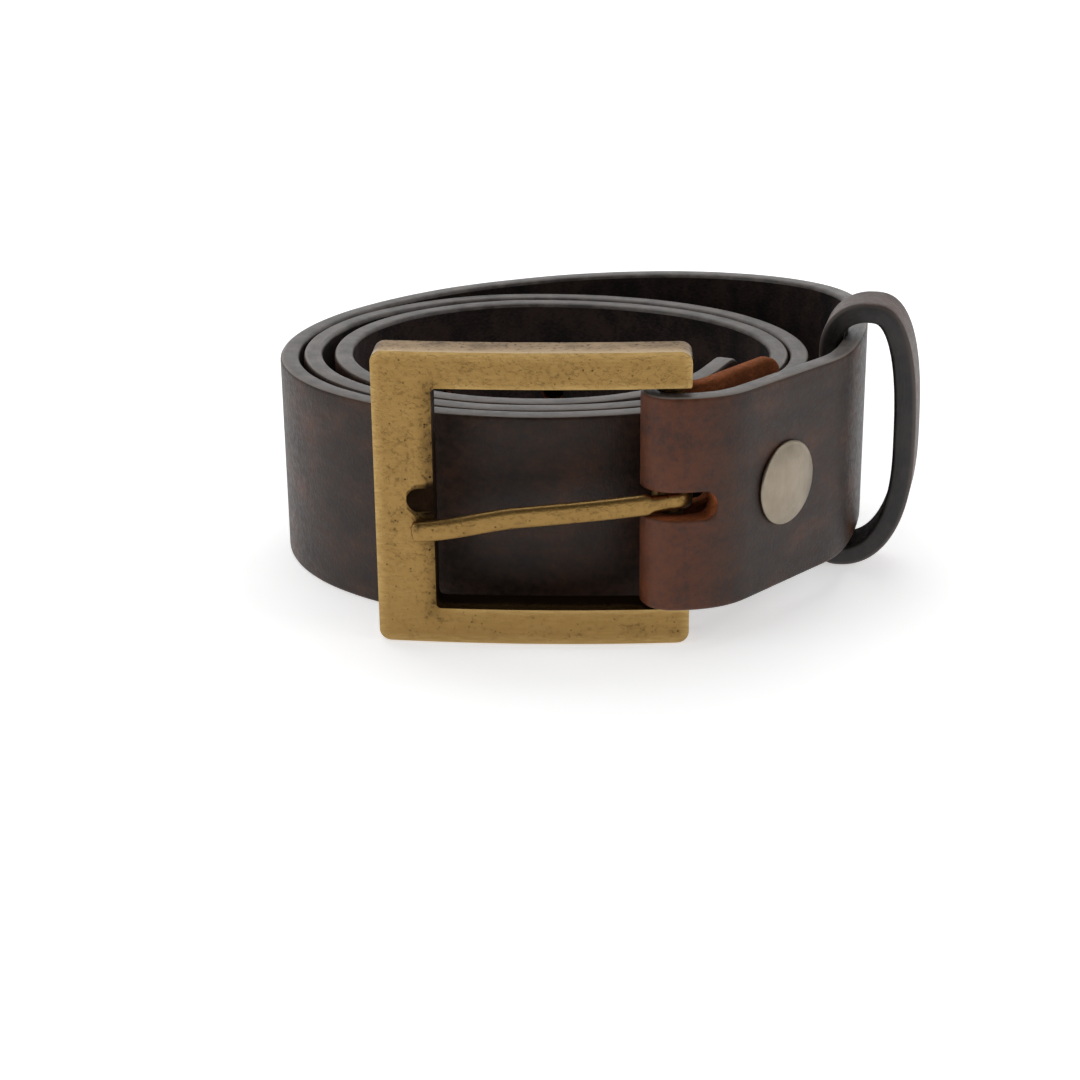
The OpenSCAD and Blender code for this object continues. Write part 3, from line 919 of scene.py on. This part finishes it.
class KeeperSettings(bpy.types.PropertyGroup):
    """Sizes and colours of the keeper."""

    band: size("Band", 10, "Width of the band, along the strap")
    thickness: size("Thickness", 3.3, "Thickness of the leather")
    fullness: size("Fullness", 0.7, "How much thicker the soft outer leg is")
    height: size("Height", 50.6, "Outer height")
    reach: size("Reach", 10.4, "Reach outside the strap's grain face")
    slack: size("Slack", 0.9, "Space between the strap's flesh side and the inner leg")
    turn: angle("Place", 6, "Angle along the slack curve at which it hangs")
    corner: size("Inner corner", 4.5, "Rounding of the corners behind the strap")
    dark: colour("Dark grain", "#3a2c28", "Darkest tone of the grain")
    light: colour("Light grain", "#5e4a42", "Lightest tone of the grain")
    warm: colour("Warm grain", "#5e4538", "Tone of the grain at the lapped ends")
    edge_dark: colour("Dark edge", "#191615", "Darkest tone of the dyed edge")
    edge_light: colour("Light edge", "#302a28", "Lightest tone of the dyed edge")
    edge_worn: colour("Worn edge", "#4f4641", "Worn corner of the dyed edge")
    staple_h: size("Staple spacing", 20, "Distance between the two staples")
    staple_w: size("Staple width", 6, "Width of a staple's crown")
    wire: size("Wire", 0.8, "Diameter of the staple wire")
    steel: colour("Steel", "#b4b4b2", "Drawn steel wire")


class StageSettings(bpy.types.PropertyGroup):
    """Backdrop, lights and camera."""

    white: colour("Backdrop", "#f4f4f4", "Backdrop card")
    top: FloatProperty(name="Top light", description="Power of the overhead light", default=2.2)
    sides: FloatProperty(name="Side lights", description="Power of each side's light", default=1.6)
    fill: FloatProperty(name="Fill", description="Strength of the room's light", default=0.14)
    pitch: angle("Pitch", 20.9, "How far the camera looks down")
    roll: angle("Roll", -0.6, "Roll of the camera")
    lens: FloatProperty(name="Lens", description="Focal length, in millimetres", default=73.333)
    eye: FloatVectorProperty(
        name="Eye",
        description="Place of the camera, from the foot of the heel bar",
        default=(-0.02233, -0.35147, 0.1524),
        subtype="TRANSLATION",
    )


# ---- operators ----
class BELT_OT_strap(bpy.types.Operator):
    """Make the strap: cut, skived and punched flat, then folded and coiled."""

    bl_idname = "belt.strap"
    bl_label = "Strap"

    def execute(self, context):
        strap = context.scene.belt_strap
        plan = layout(context.scene)
        fold_at = (plan.fold_start + plan.fold_end) / 2
        finishes = [
            full_grain_leather("waxed_full_grain_leather", strap, fold_at),
            burnished_edge(
                "burnished_leather_edge", strap.edge_dark, strap.edge_light, strap.edge_worn
            ),
            flesh_side("dyed_flesh_side", strap.flesh_dark, strap.flesh_light),
            flesh_side("skived_raw_leather", strap.raw_dark, strap.raw_light),
        ]

        def thickness(x):
            part = (x - plan.fold_start) / (plan.fold_end - plan.fold_start)
            part = min(1, max(0, part))
            return strap.flap_thickness + (strap.thickness - strap.flap_thickness) * part

        def trim(x):
            flap_cut = cut_corner(x + 0.3 * MM, strap.flap_corner)
            return flap_cut + cut_corner(plan.total - x + 0.3 * MM, strap.tip_corner)

        fine = [
            (0, strap.flap_corner),
            (plan.fold_start - 10 * MM, plan.fold_end + 10 * MM),
            (plan.total - strap.tip_corner, plan.total),
        ]
        places = stations(plan.total, fine)
        piece = flat_strip(
            "strap_leather",
            places,
            thickness,
            trim,
            strap.width,
            strap.rounding,
            finishes,
            plan.fold_start + 2 * MM,
        )
        slot = slot_punch(
            finishes[RAW],
            plan.fold_start - strap.slot_reach,
            plan.fold_end + strap.slot_reach,
            strap.slot_h,
            strap.width / 2,
        )
        cut_away(piece, slot, punches(finishes[RAW], plan.total, strap.width, strap))
        path = []
        for point, run in zip(plan.points, plan.runs):
            z = lift(strap, run - plan.fold_end)
            z += strap.flap_lift * max(0, 1 - run / plan.fold_start)
            path.append((point.x, point.y, z))
        bend_strip(piece, finishes, path, UP, strap.waviness)
        record_slot(piece, "strap_leather", "strap", "strap")
        return {"FINISHED"}


class BELT_OT_buckle(bpy.types.Operator):
    """Make the buckle: a bowed brass casting, and a finish for its heel bar."""

    bl_idname = "belt.buckle"
    bl_label = "Buckle"

    def execute(self, context):
        buckle = context.scene.belt_buckle
        plan = layout(context.scene)
        brass = antiqued_brass("antiqued_cast_brass", buckle)
        left, right = buckle.bar_inset - buckle.length, buckle.bar_inset
        window_x = left + buckle.rest_bar
        sill = (buckle.height - buckle.window) / 2
        lintel = buckle.height - sill

        outline = rounded(
            [
                (left, 0, buckle.corner),
                (right, 0, buckle.corner),
                (right, sill, 0.4 * MM),
                (window_x, sill, 1 * MM),
                (window_x, lintel, 1 * MM),
                (right, lintel, 0.4 * MM),
                (right, buckle.height, buckle.corner),
                (left, buckle.height, buckle.corner),
            ]
        )
        work = bmesh.new()
        front = work.faces.new([work.verts.new((p.x, -buckle.depth / 2, p.y)) for p in outline])
        grown = bmesh.ops.extrude_face_region(work, geom=[front])["geom"]
        moved = [v for v in grown if isinstance(v, bmesh.types.BMVert)]
        bmesh.ops.translate(work, verts=moved, vec=(0, buckle.depth, 0))
        for axis, low, across, count in (
            (Vector((1, 0, 0)), left, buckle.length, 30),
            (Vector((0, 0, 1)), 0, buckle.height, 30),
            (Vector((0, 1, 0)), -buckle.depth / 2, buckle.depth, 5),
        ):
            for i in range(1, count):
                everything = work.verts[:] + work.edges[:] + work.faces[:]
                cut = (low + across * i / count) * axis
                bmesh.ops.bisect_plane(work, geom=everything, plane_co=cut, plane_no=axis)
        slope_w, slope_d = 3.2 * MM, 0.7 * MM
        for vert in work.verts:
            rise = min(1, max(0, (vert.co.x - window_x + slope_w) / slope_w))
            on_bar = vert.co.x < window_x + 0.1 * MM and sill - MM < vert.co.z < lintel + MM
            if on_bar and vert.co.y < -buckle.depth / 2 + 0.1 * MM:
                vert.co.y += slope_d * rise**2
            vert.co.y += bow_at(buckle, vert.co.x)
        bmesh.ops.recalc_face_normals(work, faces=work.faces)
        mesh = bpy.data.meshes.new("buckle_casting")
        work.to_mesh(mesh)
        work.free()
        mesh.materials.append(brass)
        mesh.shade_smooth()
        piece = bpy.data.objects.new("buckle_casting", mesh)
        context.scene.collection.objects.link(piece)
        bevel = piece.modifiers.new("softening", "BEVEL")
        bevel.width = buckle.softening
        bevel.segments = 4
        bevel.limit_method = "ANGLE"
        bevel.angle_limit = math.radians(40)
        bevel.harden_normals = True
        settle(piece)

        mid_z = context.scene.belt_strap.lift + context.scene.belt_strap.width / 2 - TABLE_GAP
        face_y = bow_at(buckle, window_x) - buckle.depth / 2
        r = buckle.notch_h / 2
        notch = arc((window_x - buckle.notch_l + r, mid_z), r, 90, 270, 16)
        notch += [(window_x + r, mid_z - r), (window_x + r, mid_z + r)]
        n = len(notch)
        points = [(x, y, z) for y in (face_y - 5 * MM, face_y + buckle.notch_d) for x, z in notch]
        faces = [(i, (i + 1) % n, n + (i + 1) % n, n + i) for i in range(n)]
        faces += [tuple(range(n)), tuple(range(n, 2 * n))]
        groove = solid("groove", points, faces, [brass])
        inner_end = 2 * MM
        drill = lathe(
            "drill",
            [
                (0, inner_end),
                (buckle.bar_d / 2, inner_end),
                (buckle.bar_d / 2, buckle.height - inner_end),
                (0, buckle.height - inner_end),
            ],
            48,
            Matrix.Identity(4),
            brass,
        )
        cut_away(piece, groove, drill)

        # Patina together with painted shade: the walls behind the front face are darker, most on the
        # window's inner walls and in the notch; the front edges are lighter for a painted highlight as
        # well as wear.
        def patina(p):
            depth = p.y - bow_at(buckle, p.x) + buckle.depth / 2
            deep = min(1, max(0, (depth - 0.9 * MM) / (2.2 * MM)))
            off = max(window_x - p.x, 0, sill - p.z, p.z - lintel)
            near = max(0, 1 - off / (1.3 * MM))
            slope = 0.6 * max(0, 1 - off / (2.6 * MM)) if p.x < window_x else 0
            # Lighter along the front edges: rubbed-bright wear together with a painted highlight.
            rim = min(p.x - left, right - p.x, p.z, buckle.height - p.z, max(off, 0.1 * MM))
            rubbed = 0.35 * max(0, 1 - rim / (1.2 * MM)) * max(0, 1 - depth / (1.4 * MM))
            corner = min(abs(p.z - sill), abs(p.z - lintel)) + abs(p.x - window_x)
            dirt = 0.55 * max(0, 1 - corner / (4 * MM))
            in_notch = abs(p.z - mid_z) < r + 0.1 * MM and depth > 0.25 * MM
            in_notch = in_notch and 0 <= window_x - p.x + 0.1 * MM < buckle.notch_l + 0.2 * MM
            if in_notch and depth < buckle.notch_d + 0.2 * MM:
                return 1.0
            return max(near * deep, 0.4 * deep, dirt, slope) - rubbed

        paint_brass_tone(piece, patina)
        place = Matrix.Translation((*plan.heel, TABLE_GAP)) @ Matrix.Rotation(-buckle.turn, 4, "Z")
        piece.data.transform(place)
        record_slot(piece, "antique_brass", "buckle", "buckle_frame")
        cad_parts["heel_bar"].data.materials.clear()
        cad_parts["heel_bar"].data.materials.append(dulled_brass("dulled_turned_brass", buckle))
        return {"FINISHED"}


class BELT_OT_prong(bpy.types.Operator):
    """Make the prong: a blade with a rounded tip, an S-bend, and a hook round the heel bar."""

    bl_idname = "belt.prong"
    bl_label = "Prong"

    def execute(self, context):
        prong, buckle = context.scene.belt_prong, context.scene.belt_buckle
        plan = layout(context.scene)
        reach = prong.length - 0.4 * MM
        hook_r = buckle.bar_d / 2 + HOOK_GAP + prong.hook
        left = buckle.bar_inset - buckle.length
        window_x = left + buckle.rest_bar
        front = bow_at(buckle, window_x) - buckle.depth / 2
        face = front * math.cos(buckle.turn) - window_x * math.sin(buckle.turn)
        tip_y = face - prong.rest_gap - prong.thickness / 2
        root_y = prong.thickness / 2 - hook_r

        def blade(u):
            y = root_y + (tip_y - root_y) * u
            y -= prong.swell * math.sin(math.pi * max(u, 0) ** 0.7)
            part = min(1, max(0, (u - 0.58) / 0.34))
            drop = prong.crook * (part * part * (3 - 2 * part) - u)
            return Vector((-reach * u, y, -reach * u * math.sin(prong.droop) - drop))

        root_u, blade_steps, hook_steps, hook_turn = 0.045, 100, 40, 240
        stops = []
        for i in range(blade_steps + 1):
            u = 1 - i / blade_steps * (1 - root_u)
            gap = reach * (1 - u)
            close = cut_corner(gap, 0.9 * MM)
            ahead = (blade(u - 0.004) - blade(u + 0.004)).normalized()
            step = min(1, max(0, (reach * u - 3.3 * MM) / (0.7 * MM)))
            wide = prong.neck + (prong.width - prong.neck) * step - 2 * close
            stops.append((blade(u), ahead, wide, prong.thickness - 1.6 * close))
        root = blade(root_u)
        for i in range(1, 5):
            t = i / 5
            centre = root.lerp(Vector((0, prong.hook / 2 - hook_r, 0)), t)
            thick = prong.thickness + (prong.hook - prong.thickness) * t
            stops.append((centre, Vector((1, 0, 0)), prong.neck, thick))
        ring = hook_r - prong.hook / 2
        for i in range(hook_steps + 1):
            turn = -90 + hook_turn * i / hook_steps
            centre = ring * Vector((*along(turn), 0))
            stops.append((centre, Vector((*inward(turn), 0)), prong.neck, prong.hook))
        material = bpy.data.materials["antiqued_cast_brass"]
        mid_z = context.scene.belt_strap.lift + context.scene.belt_strap.width / 2
        place = Matrix.Translation((*plan.heel, mid_z))
        piece = sweep("prong_blade", stops, place, material)

        # The hook, under the fold, and the blade's back are darker: patina together with painted shade.
        def patina(p):
            hidden = min(1, max(0, (p.x - plan.heel.x - 1 * MM) / (3 * MM)))
            behind = min(1, max(0, (p.y - plan.heel.y - tip_y - 0.4 * MM) / (1 * MM)))
            return 0.08 + 0.3 * behind + 0.4 * hidden

        paint_brass_tone(piece, patina)
        record_slot(piece, "antique_brass", "prong", "prong")
        return {"FINISHED"}


class BELT_OT_snap(bpy.types.Operator):
    """Make the snap's domed cap, and a finish for its pressed pieces."""

    bl_idname = "belt.snap"
    bl_label = "Snap"

    def execute(self, context):
        snap, strap = context.scene.belt_snap, context.scene.belt_strap
        plan = layout(context.scene)
        nickel = satin_nickel("satin_nickel_plate", snap.tint, snap.shade)
        r, roll = snap.cap_d / 2, snap.rim / 2
        crown = r - 1.2 * roll
        big = (crown**2 + snap.dome**2) / (2 * snap.dome)
        outline = []
        for i in range(19):
            a = math.asin(crown / big) * i / 18
            drop = big * (1 - math.cos(a))
            outline.append((big * math.sin(a), snap.rim + snap.dome - drop))
        outline[0] = (0, snap.rim + snap.dome)
        outline += arc((r - roll, roll * 1.05), roll, 60, -90, 10)
        under = 0.06 * MM
        tube = snap.tube_d / 2
        below = -strap.thickness - 0.6 * MM
        outline += [(r - 1.4 * roll, under), (r - 2 * roll, snap.rim), (tube, snap.rim)]
        outline += [(tube, below), (tube - 0.5 * MM, below), (tube - 0.5 * MM, -1 * MM)]
        outline.append((0, -1 * MM))
        z = lift(strap, plan.snap_run) + strap.width / 2
        place = Matrix.Translation((*plan.snap, z))
        place @= Matrix.Rotation(math.radians(plan.snap_h - 90), 4, "Z")
        place @= Matrix.Rotation(math.pi / 2, 4, "Y")
        piece = lathe("snap_cap_dome", outline, 96, place, nickel)
        record_slot(piece, "satin_nickel", "strap", "snap_cap")
        for node in ("snap_socket", "snap_stud", "snap_post"):
            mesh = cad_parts[node].data
            mesh.materials.clear()
            mesh.materials.append(nickel)
        return {"FINISHED"}


class BELT_OT_keeper(bpy.types.Operator):
    """Make the keeper: a band bent to a D and closed by two staples."""

    bl_idname = "belt.keeper"
    bl_label = "Keeper"

    def execute(self, context):
        keeper, strap = context.scene.belt_keeper, context.scene.belt_strap
        plan = layout(context.scene)
        top, r = keeper.height, keeper.corner
        shoulder = 1 * MM
        waist = 0.47 * top
        arch = 9 * MM
        leg = -strap.thickness - keeper.slack - keeper.thickness
        foot = leg + r
        butt = 0.08 * MM
        n = 24
        outline = line((leg, waist + butt), (leg, top - arch), n)
        outline += oval((shoulder, top - arch), (leg - shoulder, arch), 2.1, 0, 90, n)
        outline += oval((shoulder, waist), (keeper.reach - shoulder, top - waist), 2.7, 90, 0, 3 * n)
        outline += oval((foot, waist), (keeper.reach - foot, -waist), 2.3, 0, 90, 3 * n)
        outline += arc((foot, r), r, -90, -180, n)
        outline += line((leg, r), (leg, waist - butt), n)
        outline.append((leg, waist - butt))
        out, ahead = along(plan.keeper_h - 90), along(plan.keeper_h)
        corner = plan.keeper - keeper.band / 2 * ahead
        path = [(*(corner + x * out), TABLE_GAP + z) for x, z in outline]
        length = sum((Vector(b) - Vector(a)).length for a, b in zip(path, path[1:]))
        finishes = [
            full_grain_leather("waxed_keeper_leather", keeper, 0.0),
            burnished_edge(
                "dyed_keeper_edge", keeper.edge_dark, keeper.edge_light, keeper.edge_worn
            ),
            bpy.data.materials["dyed_flesh_side"],
            bpy.data.materials["skived_raw_leather"],
        ]
        piece = flat_strip(
            "keeper_band",
            stations(length, [(0, length)]),
            lambda x: keeper.thickness + keeper.fullness * math.sin(math.pi * x / length) ** 2,
            lambda x: 0.0,
            keeper.band,
            0.7 * MM,
            finishes,
        )
        bend_strip(piece, finishes, path, Vector((*ahead, 0)), 0.05 * MM)
        record_slot(piece, "keeper_leather", "keeper", "keeper_loop")

        place = Matrix.Translation((*plan.keeper, TABLE_GAP))
        place @= Matrix.Rotation(math.radians(plan.keeper_h - 90), 4, "Z")
        wire = drawn_wire("bright_drawn_wire", keeper.steel)
        staples = self.staples(keeper, place, leg, wire)
        record_slot(staples, "staple_wire", "keeper", "keeper_staples")
        return {"FINISHED"}

    def staples(self, keeper, place, leg, material):
        """One bent wire, repeated up the inner leg."""
        tree, given, ids = new_tree(
            "staple_row",
            {"Count": "Int", "Spacing": "Vector", "Radius": "Float", "Material": "Material"},
        )
        row = add(
            tree, "GeometryNodeMeshLine", {"Count": given["Count"], "Offset": given["Spacing"]}
        )
        centreline = add(tree, "GeometryNodeMeshToCurve", {0: given["Geometry"]})
        ring = add(
            tree, "GeometryNodeCurvePrimitiveCircle", {"Resolution": 12, "Radius": given["Radius"]}
        )
        tube = add(
            tree,
            "GeometryNodeCurveToMesh",
            {0: centreline.outputs[0], 1: ring.outputs[0], "Fill Caps": True},
        )
        repeat_on(tree, row, tube, given["Material"])
        crown = leg + keeper.thickness - keeper.wire / 2
        half, bend = keeper.staple_w / 2, 0.5 * MM
        wire_line = line((leg + 0.4 * MM, -half), (crown - bend, -half), 6)
        wire_line += arc((crown - bend, bend - half), bend, -90, 0, 6)
        wire_line += line((crown, bend - half), (crown, half - bend), 8)
        wire_line += arc((crown - bend, half - bend), bend, 0, 90, 6)
        wire_line += line((crown - bend, half), (leg + 0.4 * MM, half), 6)
        points = [(x, y, 14 * MM) for x, y in wire_line]
        mesh = bpy.data.meshes.new("staple_wires")
        mesh.from_pydata(points, [(i, i + 1) for i in range(len(points) - 1)], [])
        mesh.materials.append(material)
        piece = bpy.data.objects.new("staple_wires", mesh)
        bpy.context.scene.collection.objects.link(piece)
        values = {
            "Count": 2,
            "Spacing": (0, 0, keeper.staple_h),
            "Radius": keeper.wire / 2,
            "Material": material,
        }
        run_tree(piece, tree, ids, values)
        turn_outwards(piece.data)
        piece.data.shade_smooth()
        piece.data.transform(place)
        return piece


class BELT_OT_stage(bpy.types.Operator):
    """Set the backdrop, the lights and the camera."""

    bl_idname = "belt.stage"
    bl_label = "Stage"

    def execute(self, context):
        stage = context.scene.belt_stage
        self.backdrop(matt_card("matt_white_card", stage.white))
        self.softbox("overhead_softbox", (-0.05, 0.22, 0.75), 0.8, 0.6, stage.top)
        self.softbox("left_softbox", (-0.75, -0.35, 0.4), 0.7, 0.6, stage.sides)
        self.softbox("right_softbox", (0.75, -0.2, 0.4), 0.7, 0.6, stage.sides)
        world = bpy.data.worlds.new("room")
        world.use_nodes = True
        room = world.node_tree.nodes["Background"]
        room.inputs["Color"].default_value = (1, 1, 1, 1)
        room.inputs["Strength"].default_value = stage.fill
        context.scene.world = world
        context.scene.view_settings.view_transform = "Standard"
        self.camera(context.scene, stage)
        return {"FINISHED"}

    def backdrop(self, material):
        """White card that curves up behind the belt."""
        near, far, wide, sweep_r = -1.2, 0.9, 2.0, 0.4
        outline = [(near, 0.0), (0.0, 0.0)]
        for i in range(13):
            t = math.radians(90 * i / 12)
            outline.append((far - sweep_r + sweep_r * math.sin(t), sweep_r * (1 - math.cos(t))))
        outline.append((far, 1.8))
        points = [(x, y, z) for y, z in outline for x in (-wide, wide)]
        faces = [(2 * i, 2 * i + 1, 2 * i + 3, 2 * i + 2) for i in range(len(outline) - 1)]
        mesh = bpy.data.meshes.new("backdrop_card")
        mesh.from_pydata(points, [], faces)
        mesh.materials.append(material)
        mesh.shade_smooth()
        card = bpy.data.objects.new("backdrop_card", mesh)
        bpy.context.scene.collection.objects.link(card)

    def softbox(self, name, place, wide, tall, power):
        """Rectangular light that faces the belt."""
        light = bpy.data.lights.new(name, "AREA")
        light.shape = "RECTANGLE"
        light.size, light.size_y = wide, tall
        light.energy = power
        lamp = bpy.data.objects.new(name, light)
        lamp.location = place
        lamp.rotation_euler = (Vector((0, 0, 0.02)) - Vector(place)).to_track_quat("-Z", "Y").to_euler()
        bpy.context.scene.collection.objects.link(lamp)

    def camera(self, scene, stage):
        """Camera in front of the buckle, looking down at the coil."""
        ahead = Vector((0, math.cos(stage.pitch), -math.sin(stage.pitch)))
        level_up = Vector((0, math.sin(stage.pitch), math.cos(stage.pitch)))
        across = Vector((1, 0, 0))
        right = math.cos(stage.roll) * across + math.sin(stage.roll) * level_up
        up = math.cos(stage.roll) * level_up - math.sin(stage.roll) * across
        lens = bpy.data.cameras.new("camera")
        lens.lens = stage.lens
        lens.sensor_width = 36
        lens.clip_start = 0.01
        camera = bpy.data.objects.new("camera", lens)
        turn = Matrix((right, up, -ahead)).transposed().to_4x4()
        heel = layout(scene).heel
        eye = Vector((*heel, 0)) + stage.eye
        camera.matrix_world = Matrix.Translation(eye) @ turn
        scene.collection.objects.link(camera)
        scene.camera = camera


class BELT_PT_parts(bpy.types.Panel):
    """Lists the belt's pieces and their settings."""

    bl_label = "Belt"
    bl_idname = "BELT_PT_parts"
    bl_space_type = "VIEW_3D"
    bl_region_type = "UI"
    bl_category = "Belt"

    def draw(self, context):
        for operator, group in PARTS:
            box = self.layout.box()
            box.operator(operator.bl_idname)
            settings = getattr(context.scene, group)
            for name in settings.bl_rna.properties.keys():
                if name not in ("rna_type", "name"):
                    box.prop(settings, name)


# Each operator with the settings it reads, in the order of making
PARTS = (
    (BELT_OT_strap, "belt_strap"),
    (BELT_OT_buckle, "belt_buckle"),
    (BELT_OT_prong, "belt_prong"),
    (BELT_OT_snap, "belt_snap"),
    (BELT_OT_keeper, "belt_keeper"),
    (BELT_OT_stage, "belt_stage"),
)
GROUPS = {
    "belt_strap": StrapSettings,
    "belt_buckle": BuckleSettings,
    "belt_prong": ProngSettings,
    "belt_snap": SnapSettings,
    "belt_keeper": KeeperSettings,
    "belt_stage": StageSettings,
}
CLASSES = (*GROUPS.values(), *(operator for operator, _ in PARTS), BELT_PT_parts)


def register():
    """Registers the classes and hangs the settings on the scene."""
    for cls in CLASSES:
        bpy.utils.register_class(cls)
    for name, group in GROUPS.items():
        setattr(bpy.types.Scene, name, PointerProperty(type=group))


def unregister():
    """Takes the settings and the classes away again."""
    for name in GROUPS:
        delattr(bpy.types.Scene, name)
    for cls in reversed(CLASSES):
        bpy.utils.unregister_class(cls)


def main():
    """Makes every piece and the stage."""
    register()
    bpy.ops.belt.strap()
    bpy.ops.belt.buckle()
    bpy.ops.belt.prong()
    bpy.ops.belt.snap()
    bpy.ops.belt.keeper()
    bpy.ops.belt.stage()


if __name__ == "__main__":
    main()
